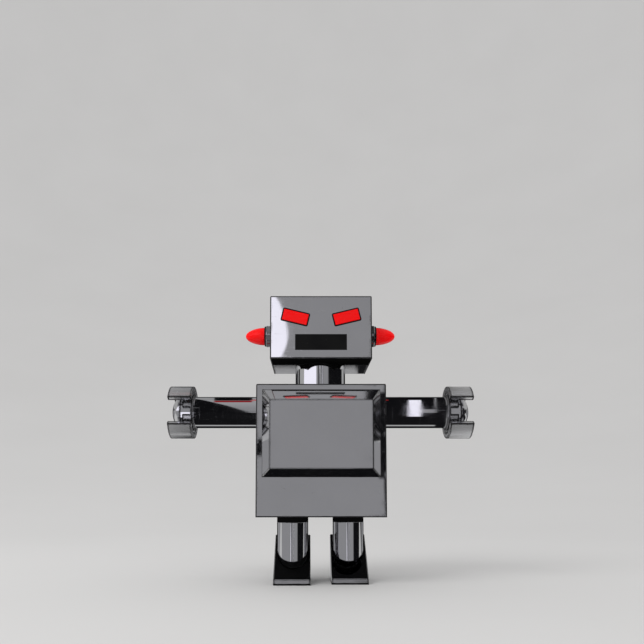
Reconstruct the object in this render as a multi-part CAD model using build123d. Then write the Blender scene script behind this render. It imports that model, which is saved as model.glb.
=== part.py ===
"""Tin wind-up robot: sheet-metal head, torso, arms and legs round a clockwork motor, 200 mm tall.

Lengths are millimetres. The robot faces -Y, +Z is up, and "left" is the robot's own left, which is +X.
Parts are drawn with Y = 0 on the torso's middle plane, and export() shifts them so that the origin is the
middle of the whole robot's footprint, on the floor.
"""

from build123d import *
import math
import os

# ---------------------------------------------------------------- driving dimensions
TIN = 0.6  # sheet thickness
RUN = 0.06  # radial clearance of a shaft in its bearing
GAP = 0.05  # clearance between parts that sit against each other

TORSO_W, TORSO_D, TORSO_TOP, TORSO_FOOT = 90.6, 65.0, 139.4, 46.8
TORSO_X, FRONT_Y, BACK_Y = TORSO_W / 2, -TORSO_D / 2, TORSO_D / 2
HEAD_W, HEAD_FOOT, HEAD_TOP = 71.6, 157.3, 201.8
HEAD_X = HEAD_W / 2
EDGE_R = 0.9  # bend radius of the folded edges

PANEL_W, PANEL_FOOT, PANEL_TOP = 81.8, 74.35, 135.05  # chest panel's outline on the torso
CREST_W, CREST_FOOT, CREST_TOP = 70.7, 79.75, 127.1  # its raised flat face
PANEL_SKIRT, PANEL_SLOPE = 2.3, 8.0  # depth of its straight skirt, and of the sloping band in front of it

NECK_R = 18.4
EYE_X, EYE_Z, EYE_W, EYE_H, EYE_TILT = 18.0, 186.7, 17.8, 7.8, 13.6
EYE_PROUD = 0.6
MOUTH_Z, MOUTH_W, MOUTH_H = 168.85, 36.3, 11.3
EAR_Z, EAR_R, EAR_END_X = 180.0, 7.85, 40.7
BULB_R, BULB_TIP_X = 6.5, 55.6

ARM_Z, ARM_R, ARM_START_X, ARM_END_X = 122.8, 11.55, 45.7, 102.2
PALM_TIP_X = 109.2
CLAW_R, CLAW_T, CLAW_START_X, CLAW_END_X, CLAW_SLOT_DEG = 19.3, 4.0, 93.2, 110.4, 60.0
COLLAR_R, COLLAR_L, COLLAR_GAP = 13.2, 7.0, 5.2
SPINDLE_R = 3.0

LEG_X, LEG_R, LEG_TOP = 20.3, 11.35, 60.0
FOOT_W, TOE_Y, HEEL_Y, TOE_H, INSTEP_H = 25.9, -25.5, 12.6, 3.9, 33.3
SOLE_T = 1.2

CRANK_Z, CRANK_THROW, CRANK_R = 77.5, 2.5, 1.5
PIN_R = 1.3
GUIDE_Z, GUIDE_R = 66.0, 1.5

MODULE = 0.75
GREAT_TEETH, CENTRE_LEAVES, SECOND_TEETH, THIRD_LEAVES = 48, 12, 40, 10
THIRD_TEETH, FAN_LEAVES, CROWN_TEETH, CRANK_LEAVES = 30, 10, 36, 12
PLATE_T, FRONT_PLATE_Y, REAR_PLATE_Y = 1.0, 11.0, 27.0
ARBOR_R, WINDING_R, FAN_ARBOR_R = 1.5, 2.0, 1.0
KEY_END_Y = 56.5
BASE_SCREW_Y, BASE_SCREW_HEAD = (-10.0, 22.0), 0.7

CREST_Y = FRONT_Y - PANEL_SKIRT - PANEL_SLOPE
ORIGIN_Y = (CREST_Y + KEY_END_Y) / 2
SIDES = (("left", 1), ("right", -1))

# ---------------------------------------------------------------- arbor places, as (x, z)
pitch_r = {n: MODULE * n / 2 for n in (10, 12, 30, 36, 40, 48)}
CENTRE = (0.0, CRANK_Z)
WINDING = (0.0, CRANK_Z + pitch_r[GREAT_TEETH] + pitch_r[CENTRE_LEAVES])
THIRD = (pitch_r[SECOND_TEETH] + pitch_r[THIRD_LEAVES], CRANK_Z)
FAN_BEARING_DEG = 60.0
FAN_REACH = pitch_r[THIRD_TEETH] + pitch_r[FAN_LEAVES]
FAN = (
    THIRD[0] + FAN_REACH * math.cos(math.radians(FAN_BEARING_DEG)),
    THIRD[1] + FAN_REACH * math.sin(math.radians(FAN_BEARING_DEG)),
)
# planes of the train between the two motor plates, as (front y, back y)
GREAT_Y, CLICK_Y, SECOND_Y, SPRING_Y = (13.0, 15.0), (15.2, 16.4), (17.0, 18.5), (19.4, 26.0)
THIRD_Y, BLADE_Y, BRAKE_Y = (20.0, 21.5), (15.6, 19.0), (28.7, 30.2)
PILLARS = ((-16.95, 116.0), (25.0, 117.0), (-24.0, 68.0), (31.0, 68.0))


# ---------------------------------------------------------------- drawing helpers
def block(x0, x1, y0, y1, z0, z1):
    """A box between two corners."""
    return Pos((x0 + x1) / 2, (y0 + y1) / 2, (z0 + z1) / 2) * Box(x1 - x0, y1 - y0, z1 - z0)


def x_rod(r, x0, x1, y, z):
    return Pos((x0 + x1) / 2, y, z) * Rot(0, 90, 0) * Cylinder(r, abs(x1 - x0))


def y_rod(r, y0, y1, x, z):
    return Pos(x, (y0 + y1) / 2, z) * Rot(90, 0, 0) * Cylinder(r, abs(y1 - y0))


def z_rod(r, z0, z1, x, y):
    return Pos(x, y, (z0 + z1) / 2) * Cylinder(r, z1 - z0)


def y_prism(face, y0, y1):
    """A face drawn as (x, z), made solid from y0 to y1."""
    return extrude(Plane.XZ.offset(-y0) * face, amount=-(y1 - y0))


def x_prism(face, x0, x1):
    """A face drawn as (y, z), made solid from x0 to x1."""
    return extrude(Plane.YZ.offset(x0) * face, amount=x1 - x0)


def outline(*points):
    return make_face(Polyline(*points, close=True))


def on_side(shape, side):
    """The shape as drawn for +X, or its mirror image for -X."""
    return shape if side > 0 else mirror(shape, about=Plane.YZ)


def at_polar(r, angle):
    return (r * math.cos(angle), r * math.sin(angle))


def export(shape, name):
    solids = shape.solids()
    shifted = [s.moved(Location((0, -ORIGIN_Y, 0))) for s in solids]
    export_step(shifted[0] if len(shifted) == 1 else Compound(children=shifted), f"parts/{name}.step")


def group(shapes):
    return Compound(children=[s for shape in shapes for s in shape.solids()])


# ---------------------------------------------------------------- gears
PRESSURE = math.radians(20)


def involute(angle):
    return math.tan(angle) - angle


def gear_face(teeth, tooth_at, share=0.42, tip=0.85, root=1.2, bore=0.0):
    """A spur gear's outline with one tooth centred at tooth_at radians. share is tooth over pitch."""
    r = MODULE * teeth / 2
    base, top, bottom = r * math.cos(PRESSURE), r + tip * MODULE, r - root * MODULE
    start = max(base, bottom + 0.02)
    radii = [start, (start + r) / 2, r, (r + top) / 2, top]

    def half(radius):
        spread = involute(PRESSURE) - involute(math.acos(min(1.0, base / radius)))
        return share * math.pi / teeth + spread

    flank = [(bottom, half(start))] + [(q, half(q)) for q in radii]
    points = []
    for i in range(teeth):
        middle = tooth_at + 2 * math.pi * i / teeth
        points += [at_polar(q, middle - h) for q, h in flank]
        points += [at_polar(q, middle + h) for q, h in reversed(flank)]
    face = outline(*points)
    return face - Circle(bore) if bore else face


def bearing(start, end):
    """Direction from one arbor to another, in radians."""
    return math.atan2(end[1] - start[1], end[0] - start[0])


def meshed(teeth, towards, gap=False):
    """Where a gear's tooth, or its gap, faces the gear that it meshes with."""
    return towards + (math.pi / teeth if gap else 0.0)


def wheel(teeth, tooth_at, ys, hub_r, bore, spokes=4):
    """A clock wheel with its spokes crossed out."""
    r = MODULE * teeth / 2
    rim_r, eye_r = r - 3.0, hub_r + 1.4
    face = gear_face(teeth, tooth_at, bore=bore)
    window = Circle(rim_r) - Circle(eye_r)
    for i in range(spokes):
        window -= Rot(0, 0, 180 * i / spokes + 45) * Rectangle(2 * r, 2.4)
    return y_prism(face - window, *ys)


# ---------------------------------------------------------------- torso
def fold_edges(box, x, foot, top):
    """Rounds the folded edges: round the front face, and along both sides of the top."""
    edges = []
    for e in box.edges():
        c = e.center()
        on_front = c.Y < FRONT_Y + 0.1 and c.Z > foot + 0.1
        on_top = c.Z > top - 0.1 and abs(c.X) > x - 0.1
        if on_front or on_top:
            edges.append(e)
    return fillet(edges, EDGE_R)


def torso_shell():
    x, top = TORSO_X, TORSO_TOP
    box = block(-x, x, FRONT_Y, BACK_Y, TORSO_FOOT, top)
    box = fold_edges(box, x, TORSO_FOOT, top)
    shell = box - block(-x + TIN, x - TIN, FRONT_Y + TIN, BACK_Y + 1, TORSO_FOOT - 1, top - TIN)
    inner_x, tab_y = x - TIN, BACK_Y - TIN - GAP
    for side in (-1, 1):
        x0, x1 = sorted((side * (inner_x - 6), side * (inner_x + 0.3)))
        for z in (55.0, 133.0):
            shell += block(x0, x1, tab_y - 1.0, tab_y, z - 3, z + 3)
            shell -= y_rod(1.0, tab_y - 2, tab_y + 1, side * (inner_x - 3), z)
        for y in BASE_SCREW_Y:
            shell += block(x0, x1, y - 3, y + 3, TORSO_FOOT + TIN + GAP, TORSO_FOOT + TIN + GAP + 1.0)
            shell -= z_rod(1.0, TORSO_FOOT - 1, TORSO_FOOT + 4, side * (inner_x - 3), y)
        shell -= x_rod(BUSH_R, side * (inner_x - 1), side * (x + 1), 0, ARM_Z)
    for tab_x, z in panel_tabs():
        shell -= block(tab_x - 4.1, tab_x + 4.1, FRONT_Y - 1, FRONT_Y + TIN + 1, z - GAP, z + TIN + GAP)
    for tab_x, tab_y in neck_tabs():
        shell -= block(tab_x - 0.5, tab_x + 0.5, tab_y - 3.1, tab_y + 3.1, top - 2, top + 1)
    return shell


BUSH_R = 4.5


def panel_tabs():
    """The chest panel's tabs, which carry its skirt on through the torso, as (middle x, lower z)."""
    return [(x, z) for x in (-24.0, 24.0) for z in (PANEL_TOP - TIN, PANEL_FOOT)]


def neck_tabs():
    return [(side * (NECK_R - 0.4), 0.0) for side in (-1, 1)]


def back_cover():
    x = TORSO_X - TIN - GAP
    plate = block(-x, x, BACK_Y - TIN, BACK_Y, TORSO_FOOT + TIN + GAP, TORSO_TOP - TIN - GAP)
    inner_x = TORSO_X - TIN
    for side in (-1, 1):
        for z in (55.0, 133.0):
            plate -= y_rod(1.1, BACK_Y - 2, BACK_Y + 2, side * (inner_x - 3), z)
    for px, pz in STANDOFFS:
        plate -= y_rod(1.1, BACK_Y - 2, BACK_Y + 2, px, pz)
    plate -= y_rod(3.4, BACK_Y - 2, BACK_Y + 2, *WINDING)
    plate -= lever_slot()
    # pressed ring that stiffens the sheet round the key
    ring = Circle(16.0) - Circle(13.5)
    plate += y_prism(Pos(*WINDING) * ring, BACK_Y - 0.1, BACK_Y + 0.5)
    return plate


def base_plate():
    x, y = TORSO_X - TIN - GAP, BACK_Y - TIN - GAP
    plate = block(-x, x, -y, y, TORSO_FOOT, TORSO_FOOT + TIN)
    slot_r = LEG_R + 0.6
    for side in (-1, 1):
        slot = Pos(side * LEG_X, 0) * (
            Rectangle(2 * slot_r, 2 * CRANK_THROW)
            + Pos(0, CRANK_THROW) * Circle(slot_r)
            + Pos(0, -CRANK_THROW) * Circle(slot_r)
        )
        plate -= extrude(Plane.XY.offset(TORSO_FOOT - 1) * slot, amount=4)
        ear_x = side * 34.0
        ear = block(ear_x - 0.5, ear_x + 0.5, -4, 4, TORSO_FOOT + TIN - 0.1, GUIDE_Z + 4)
        plate += ear - x_rod(GUIDE_R, ear_x - 1, ear_x + 1, 0, GUIDE_Z)
        for sy in BASE_SCREW_Y:
            plate -= z_rod(1.1, TORSO_FOOT - 1, TORSO_FOOT + 2, side * (TORSO_X - TIN - 3), sy)
    return plate


def frustum(inset, y0, y1):
    """The chest panel's outer form, shrunk by inset, between two depths."""
    base_z, crest_z = (PANEL_FOOT + PANEL_TOP) / 2, (CREST_FOOT + CREST_TOP) / 2
    base = Rectangle(PANEL_W - 2 * inset, PANEL_TOP - PANEL_FOOT - 2 * inset)
    crest = Rectangle(CREST_W - 2 * inset, CREST_TOP - CREST_FOOT - 2 * inset)
    low = Plane.XZ.offset(-y0) * Pos(0, base_z) * base
    high = Plane.XZ.offset(-y1) * Pos(0, crest_z) * crest
    return loft([low.face(), high.face()])


def skirt(inset, y0, y1):
    """The chest panel's straight-sided root, shrunk by inset."""
    x = PANEL_W / 2 - inset
    return block(-x, x, y1, y0, PANEL_FOOT + inset, PANEL_TOP - inset)


def chest_panel():
    skirt_y = FRONT_Y - PANEL_SKIRT
    form = frustum(0, skirt_y, CREST_Y)
    crest_edges = [e for e in form.edges() if e.center().Y < skirt_y - 1]
    form = fillet(crest_edges, 0.6) + skirt(0, FRONT_Y, skirt_y)
    panel = form - frustum(TIN, skirt_y + 0.01, CREST_Y + TIN) - skirt(TIN, FRONT_Y + 0.01, skirt_y)
    for tab_x, z in panel_tabs():
        panel += block(tab_x - 4, tab_x + 4, FRONT_Y - 1.0, FRONT_Y + 2.6, z, z + TIN)
    return panel


def neck_tube():
    top = HEAD_FOOT - 0.2
    tube = z_rod(NECK_R, TORSO_TOP, top, 0, 0) - z_rod(NECK_R - TIN, TORSO_TOP - 1, top - TIN, 0, 0)
    tube -= z_rod(PIVOT_R, top - 2, top + 1, 0, 0)
    for tab_x, tab_y in neck_tabs():
        tube += block(tab_x - 0.4, tab_x + 0.4, tab_y - 3, tab_y + 3, TORSO_TOP - 2.6, TORSO_TOP + 0.5)
    return tube


PIVOT_R = 3.0


def neck_pivot():
    """Shouldered rivet that the head turns on, with a washer under its head."""
    top = HEAD_FOOT - 0.2
    rivet = z_rod(PIVOT_R, top - TIN - 1.6, HEAD_FOOT + 4.2, 0, 0)
    rivet += z_rod(5.5, top - TIN - 1.6, top - TIN, 0, 0)
    rivet += z_rod(5.0, HEAD_FOOT + 2.6, HEAD_FOOT + 4.2, 0, 0)
    return rivet


# ---------------------------------------------------------------- head
def head_shell():
    x = HEAD_X
    box = block(-x, x, FRONT_Y, BACK_Y, HEAD_FOOT, HEAD_TOP)
    box = fold_edges(box, x, HEAD_FOOT, HEAD_TOP)
    shell = box - block(-x + TIN, x - TIN, FRONT_Y + TIN, BACK_Y + 1, HEAD_FOOT - 1, HEAD_TOP - TIN)
    for side in (-1, 1):
        shell -= y_prism(eye_outline(side, 0.35), FRONT_Y - 1, FRONT_Y + TIN + 1)
        shell -= x_rod(2.5, side * (x - 2), side * (x + 1), 0, EAR_Z)
        x0, x1 = sorted((side * (x - TIN - 6), side * (x - TIN + 0.3)))
        tab_y = BACK_Y - TIN - GAP
        for z in (HEAD_FOOT + 6, HEAD_TOP - 6):
            shell += block(x0, x1, tab_y - 1.0, tab_y, z - 3, z + 3)
            shell -= y_rod(1.0, tab_y - 2, tab_y + 1, side * (x - TIN - 3), z)
    shell -= y_prism(Pos(0, MOUTH_Z) * Rectangle(MOUTH_W, MOUTH_H), FRONT_Y - 1, FRONT_Y + TIN + 1)
    return shell


def eye_outline(side, grow):
    """A slanted eye's outline, whose inner end is the lower one."""
    shape = Rectangle(EYE_W + 2 * grow, EYE_H + 2 * grow)
    return Pos(side * EYE_X, EYE_Z) * Rot(0, 0, side * EYE_TILT) * shape


def eye(side):
    lens = y_prism(eye_outline(side, 0), FRONT_Y - EYE_PROUD, FRONT_Y + TIN + 0.1)
    front = [e for e in lens.edges() if e.center().Y < FRONT_Y - EYE_PROUD + 0.05]
    lens = fillet(front, 0.4)
    return lens + y_prism(eye_outline(side, 1.4), FRONT_Y + TIN, FRONT_Y + TIN + 1.0)


def mouth_plate():
    """Plain plate behind the mouth's opening, with a shallow raised field that stops short of the face."""
    back = FRONT_Y + TIN
    plate = y_prism(Pos(0, MOUTH_Z) * Rectangle(MOUTH_W + 4, MOUTH_H + 4), back, back + 0.8)
    return plate + y_prism(Pos(0, MOUTH_Z) * Rectangle(MOUTH_W - 0.3, MOUTH_H - 0.3), back - 0.35, back + 0.1)


def head_back():
    x = HEAD_X - TIN - GAP
    plate = block(-x, x, BACK_Y - TIN, BACK_Y, HEAD_FOOT + TIN + GAP, HEAD_TOP - TIN - GAP)
    for side in (-1, 1):
        for z in (HEAD_FOOT + 6, HEAD_TOP - 6):
            plate -= y_rod(1.1, BACK_Y - 2, BACK_Y + 2, side * (HEAD_X - TIN - 3), z)
    # three pressed louvres
    for i in (-1, 0, 1):
        z = (HEAD_FOOT + HEAD_TOP) / 2 + i * 7
        rib = y_prism(Pos(0, z) * SlotOverall(30, 3), BACK_Y - 0.1, BACK_Y + 0.7)
        plate += rib
    return plate


def head_base():
    x, y = HEAD_X - TIN - GAP, BACK_Y - TIN - GAP
    plate = block(-x, x, -y, y, HEAD_FOOT, HEAD_FOOT + TIN)
    for side in (-1, 1):
        x0, x1 = sorted((side * (x - 0.8), side * x))
        plate += block(x0, x1, -20, 20, HEAD_FOOT + TIN - 0.1, HEAD_FOOT + 4)
    return plate - z_rod(PIVOT_R + RUN, HEAD_FOOT - 1, HEAD_FOOT + 3, 0, 0)


def head_washer():
    """Domed spring washer between the head's floor and the pivot's head."""
    low, high = HEAD_FOOT + TIN, HEAD_FOOT + 2.6
    cone = Pos(0, 0, (low + high) / 2) * Cone(7.5, 5.0, high - low)
    inside = Pos(0, 0, (low + high) / 2 - 0.5) * Cone(7.5, 5.0, high - low)
    return cone - inside - z_rod(PIVOT_R + 0.1, low - 1, high + 1, 0, 0)


def ear_base():
    x0, x1 = HEAD_X, EAR_END_X
    disc = x_rod(EAR_R, x0, x1, 0, EAR_Z)
    disc = fillet([e for e in disc.edges() if e.center().X > x1 - 0.1], 1.2)
    disc += x_rod(2.5, x0 - TIN - 3.0, x0 + 0.1, 0, EAR_Z)
    disc += x_rod(4.2, x0 - TIN - 2.0, x0 - TIN, 0, EAR_Z)
    return disc - x_rod(BULB_R - 1.5, x1 - 2.0, x1 + 1, 0, EAR_Z)


def ear_bulb():
    length = BULB_TIP_X - EAR_END_X
    arc = EllipticalCenterArc((0, 0), length, BULB_R, start_angle=0, arc_size=90)
    face = make_face([arc, Line((0, BULB_R), (0, 0)), Line((0, 0), (length, 0))])
    bulb = revolve(face, Axis.X)
    bulb += x_rod(BULB_R - 1.6, -1.9, 0.1, 0, 0)
    return Pos(EAR_END_X, 0, EAR_Z) * bulb


# ---------------------------------------------------------------- arms
def arm_tube():
    return x_rod(ARM_R, ARM_START_X, ARM_END_X, 0, ARM_Z) - x_rod(
        ARM_R - TIN, ARM_START_X - 1, ARM_END_X + 1, 0, ARM_Z
    )


def shoulder_spindle():
    """Plug in the arm's inner end, and the spindle that turns in the torso's side."""
    x0, inner = ARM_START_X, ARM_R - TIN
    plug = x_rod(inner, x0, x0 + 3.5, 0, ARM_Z)
    plug += x_rod(SPINDLE_R, 38.0, x0 + 0.1, 0, ARM_Z)
    plug += x_rod(5.2, 38.0, 39.2, 0, ARM_Z)
    cone = Pos(40.2, 0, ARM_Z) * Rot(0, 90, 0) * Cone(4.2, 6.2, 2.0)
    plug += cone - Pos(0.6, 0, 0) * cone
    return plug


def shoulder_bush():
    inner_x = TORSO_X - TIN
    bush = x_rod(BUSH_R, inner_x - 0.1, TORSO_X, 0, ARM_Z) + x_rod(6.5, inner_x - 1.6, inner_x, 0, ARM_Z)
    return bush - x_rod(SPINDLE_R + RUN, inner_x - 3, TORSO_X + 1, 0, ARM_Z)


def palm_cap():
    """Domed cap that closes the arm's outer end."""
    depth = PALM_TIP_X - ARM_END_X
    arc = EllipticalCenterArc((0, 0), depth, ARM_R, start_angle=0, arc_size=90)
    profile = make_face([arc, Line((0, ARM_R), (0, 0)), Line((0, 0), (depth, 0))])
    cap = revolve(profile, Axis.X) + x_rod(ARM_R - TIN, -3.0, 0.1, 0, 0)
    return Pos(ARM_END_X, 0, ARM_Z) * cap


def claw():
    """Two curved jaws, each webbed to its own half of a collar round the arm."""
    x0, x1, inner = CLAW_START_X, CLAW_END_X, CLAW_R - CLAW_T
    jaws = x_rod(CLAW_R, x0, x1, 0, ARM_Z) - x_rod(inner, x0 - 1, x1 + 1, 0, ARM_Z)
    rims = [e for e in jaws.edges() if e.geom_type == GeomType.CIRCLE]
    jaws = fillet(rims, 0.5)
    jaws += x_rod(inner + 0.4, x0 + 3.6, x0 + 5.4, 0, ARM_Z) - x_rod(ARM_R + 0.5, x0, x1, 0, ARM_Z)
    far = 2 * CLAW_R
    high = far * math.tan(math.radians(CLAW_SLOT_DEG / 2))
    for sign in (-1, 1):
        slot = outline((0, 0), (sign * far, high), (sign * far, -high))
        jaws -= Pos(0, 0, ARM_Z) * x_prism(slot, x0 - 1, x1 + 1)
    collar = x_rod(COLLAR_R, x0, x0 + COLLAR_L, 0, ARM_Z) - x_rod(ARM_R, x0 - 1, x1, 0, ARM_Z)
    half = COLLAR_GAP / 2
    collar -= block(x0 + 1.2, x1, -CLAW_R, CLAW_R, ARM_Z - half, ARM_Z + half)
    return jaws + collar


# ---------------------------------------------------------------- legs
def leg_y(side):
    """The two cranks are half a turn apart, so one leg is forward while the other is back."""
    return side * CRANK_THROW


def leg_tube(side):
    y = leg_y(side)
    return z_rod(LEG_R, SOLE_T + GAP, LEG_TOP, LEG_X, y) - z_rod(LEG_R - TIN, 0, LEG_TOP + 1, LEG_X, y)


STRAP_X = (19.6, 21.0)
STRAP_W = 13.0


def leg_hanger(side):
    """Plug in the leg's top with the strap that hangs on the crank pin."""
    y, mid_x = leg_y(side), sum(STRAP_X) / 2
    plug = z_rod(LEG_R - TIN, LEG_TOP - 2.5, LEG_TOP - 0.2, LEG_X, y)
    strap = Rectangle(STRAP_W, CRANK_Z - LEG_TOP + 1.0)
    strap = Pos(0, (CRANK_Z + LEG_TOP - 1.0) / 2) * strap + Pos(0, CRANK_Z) * Circle(STRAP_W / 2)
    strap -= Pos(0, CRANK_Z) * Circle(PIN_R + RUN)
    strap -= Pos(0, GUIDE_Z) * Circle(CRANK_THROW + GUIDE_R + 0.4)
    hanger = plug + Pos(0, y, 0) * x_prism(strap, *STRAP_X)
    for corner in (-1, 1):
        gusset_y = y + corner * 5.6
        hanger += block(mid_x - 4, mid_x + 4, gusset_y - 0.5, gusset_y + 0.5, LEG_TOP - 0.5, LEG_TOP + 1.2)
    return hanger


def wedge(inset, bottom):
    """The foot's side profile as (y, z), shrunk by inset."""
    slope = math.atan2(INSTEP_H - TOE_H, HEEL_Y - TOE_Y)
    drop = inset / math.cos(slope)
    toe, heel = TOE_Y + inset, HEEL_Y - inset

    def roof(y):
        return TOE_H + (y - TOE_Y) * math.tan(slope) - drop

    return outline((toe, bottom), (toe, roof(toe)), (heel, roof(heel)), (heel, bottom))


def foot_shell(side):
    half, y = FOOT_W / 2, leg_y(side)
    form = x_prism(wedge(0, 0), LEG_X - half, LEG_X + half)
    form = fillet([e for e in form.edges() if e.center().Z > 1], 0.8)
    form -= x_prism(wedge(TIN, -1), LEG_X - half + TIN, LEG_X + half - TIN)
    form -= z_rod(LEG_R, 1, INSTEP_H + 5, LEG_X, 0)
    return Pos(0, y, 0) * form


def sole_plate(side):
    """Flat plate that closes the foot, with a spigot that centres the leg tube."""
    half, y = FOOT_W / 2 - TIN - GAP, leg_y(side)
    toe, heel = TOE_Y + TIN + GAP, HEEL_Y - TIN - GAP
    plate = block(LEG_X - half, LEG_X + half, toe, heel, 0, SOLE_T)
    plate += z_rod(LEG_R - TIN, SOLE_T - 0.1, SOLE_T + 5.0, LEG_X, 0)
    return Pos(0, y, 0) * plate


# ---------------------------------------------------------------- motor
STANDOFFS = ((-24.0, 110.0), (19.0, 112.0), (-24.0, 74.0), (14.0, 68.0))
PLATE_X, PLATE_Z = (-29.0, 36.0), (64.0, 121.0)


def motor_plate(y, holes):
    """A flat motor plate with rounded corners; holes are (x, z, radius)."""
    (x0, x1), (z0, z1) = PLATE_X, PLATE_Z
    face = Pos((x0 + x1) / 2, (z0 + z1) / 2) * RectangleRounded(x1 - x0, z1 - z0, 4)
    for x, z, r in holes:
        face -= Pos(x, z) * Circle(r)
    return y_prism(face, y, y + PLATE_T)


def arbor_holes():
    return [
        (*CENTRE, ARBOR_R + RUN),
        (*THIRD, ARBOR_R + RUN),
        (*FAN, FAN_ARBOR_R + RUN),
        (*WINDING, WINDING_R + RUN),
    ]


def front_plate():
    rivets = [(x, z, 1.2) for x, z in PILLARS]
    brackets = [(side * 20.0, z, 1.0) for side in (-1, 1) for z in BRACKET_RIVETS]
    return motor_plate(FRONT_PLATE_Y, arbor_holes() + rivets + brackets)


def rear_plate():
    rivets = [(x, z, 1.2) for x, z in PILLARS]
    screws = [(x, z, 1.0) for x, z in STANDOFFS]
    return motor_plate(REAR_PLATE_Y, arbor_holes() + rivets + screws + [(*LEVER_PIVOT, 1.2)])


def motor_pillars():
    y0, y1 = FRONT_PLATE_Y + PLATE_T, REAR_PLATE_Y
    return group(
        [
            y_rod(2.2, y0, y1, x, z) + y_rod(1.2, FRONT_PLATE_Y - 0.5, REAR_PLATE_Y + PLATE_T + 0.5, x, z)
            for x, z in PILLARS
        ]
    )


def motor_standoffs():
    y0, y1 = REAR_PLATE_Y + PLATE_T, BACK_Y - TIN
    return group([y_rod(2.4, y0, y1, x, z) - y_rod(1.0, y0 - 1, y1 + 1, x, z) for x, z in STANDOFFS])


BRACKET_RIVETS = (88.0, 93.0)
BRACKET_X = (15.9, 16.9)


def crank_bearings():
    """Two angle brackets riveted to the front plate, which carry the crankshaft."""
    parts = []
    for side in (-1, 1):
        x0, x1 = sorted((side * BRACKET_X[0], side * BRACKET_X[1]))
        arm = outline((-4.5, 73.5), (FRONT_PLATE_Y, 84.0), (FRONT_PLATE_Y, 96.0), (8.0, 96.0), (-4.5, 82.0))
        ear = x_prism(arm, x0, x1) - x_rod(CRANK_R + RUN, x0 - 1, x1 + 1, 0, CRANK_Z)
        f0, f1 = sorted((side * BRACKET_X[0], side * 24.0))
        flange = block(f0, f1, FRONT_PLATE_Y - 1.0, FRONT_PLATE_Y, 85.5, 96.0)
        part = ear + flange
        for z in BRACKET_RIVETS:
            part += y_rod(1.0, FRONT_PLATE_Y - 0.5, FRONT_PLATE_Y + PLATE_T, side * 20.0, z)
            part += y_rod(1.8, FRONT_PLATE_Y - 1.8, FRONT_PLATE_Y - 0.9, side * 20.0, z)
        parts.append(part)
    return group(parts)


def guide_rod():
    rod = x_rod(GUIDE_R, -34.5, 34.5, 0, GUIDE_Z)
    for side in (-1, 1):
        rod += x_rod(GUIDE_R + 0.8, side * 34.5, side * 35.5, 0, GUIDE_Z)
    return rod


def crankshaft():
    shaft = x_rod(CRANK_R, -17.7, 17.7, 0, CRANK_Z)
    for side in (-1, 1):
        y = leg_y(side)
        shaft += x_rod(4.8, side * 17.3, side * 19.2, 0, CRANK_Z)
        shaft += x_rod(PIN_R, side * 19.1, side * 22.3, y, CRANK_Z)
        shaft += x_rod(2.2, side * 21.3, side * 22.3, y, CRANK_Z)
    return shaft


CROWN_PITCH_R = MODULE * CROWN_TEETH / 2
MESH_HALF_W = 1.0


def crank_pinion():
    """Spur pinion on the crankshaft. It meshes with the crown wheel, which is behind it, at +Y."""
    face = gear_face(CRANK_LEAVES, meshed(CRANK_LEAVES, 0.0, gap=True), share=0.38, bore=CRANK_R)
    x0, x1 = CROWN_PITCH_R - MESH_HALF_W, CROWN_PITCH_R + MESH_HALF_W
    hub = Circle(3.0) - Circle(CRANK_R)
    return Pos(0, 0, CRANK_Z) * (x_prism(face, x0, x1) + x_prism(hub, x0 - 2.5, x0 + 0.1))


def crown_wheel():
    """Contrate wheel: teeth on its front face, in mesh with the crank's pinion."""
    pitch_y = pitch_r[CRANK_LEAVES]
    tip_y, root_y = pitch_y - 0.8 * MODULE, pitch_y + 1.1 * MODULE
    disc_r = CROWN_PITCH_R + MESH_HALF_W + 0.5
    body = Circle(disc_r) - Circle(ARBOR_R)
    holes = [Pos(*at_polar(7.5, math.radians(90 * i + 45))) * Circle(2.6) for i in range(4)]
    for hole in holes:
        body -= hole
    hub = Circle(3.2) - Circle(ARBOR_R)
    wheel_body = y_prism(body, root_y, root_y + 1.6) + y_prism(hub, root_y + 1.5, 10.6)
    pitch = math.pi * MODULE
    half_pitch_w, slope = 0.36 * pitch / 2, math.tan(PRESSURE)
    half_tip, half_root = half_pitch_w - 0.8 * MODULE * slope, half_pitch_w + 1.1 * MODULE * slope
    # a tooth's section, as (y, z), swept outwards from the wheel's middle
    base_y = root_y + 0.1
    section = outline((tip_y, -half_tip), (tip_y, half_tip), (base_y, half_root), (base_y, -half_root))
    tooth = x_prism(section, CROWN_PITCH_R - MESH_HALF_W - 0.2, CROWN_PITCH_R + MESH_HALF_W + 0.2)
    for i in range(CROWN_TEETH):
        wheel_body += Rot(0, 360 * i / CROWN_TEETH, 0) * tooth
    return Pos(CENTRE[0], 0, CENTRE[1]) * wheel_body


def centre_arbor():
    x, z = CENTRE
    leaves = gear_face(CENTRE_LEAVES, meshed(CENTRE_LEAVES, bearing(CENTRE, WINDING), gap=True), share=0.40)
    arbor = y_rod(ARBOR_R, 5.4, 28.5, x, z)
    return arbor + Pos(x, 0, z) * y_prism(leaves, GREAT_Y[0] - 0.4, GREAT_Y[1] + 0.4)


def second_wheel():
    x, z = CENTRE
    tooth_at = meshed(SECOND_TEETH, bearing(CENTRE, THIRD))
    return Pos(x, 0, z) * wheel(SECOND_TEETH, tooth_at, SECOND_Y, 3.0, ARBOR_R)


def third_arbor():
    x, z = THIRD
    leaves = gear_face(THIRD_LEAVES, meshed(THIRD_LEAVES, bearing(THIRD, CENTRE), gap=True), share=0.40)
    arbor = y_rod(ARBOR_R, 10.6, 28.5, x, z)
    return arbor + Pos(x, 0, z) * y_prism(leaves, SECOND_Y[0] - 0.4, SECOND_Y[1] + 0.4)


def third_wheel():
    x, z = THIRD
    return Pos(x, 0, z) * wheel(THIRD_TEETH, meshed(THIRD_TEETH, bearing(THIRD, FAN)), THIRD_Y, 2.6, ARBOR_R)


DRUM_R = 4.0


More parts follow.
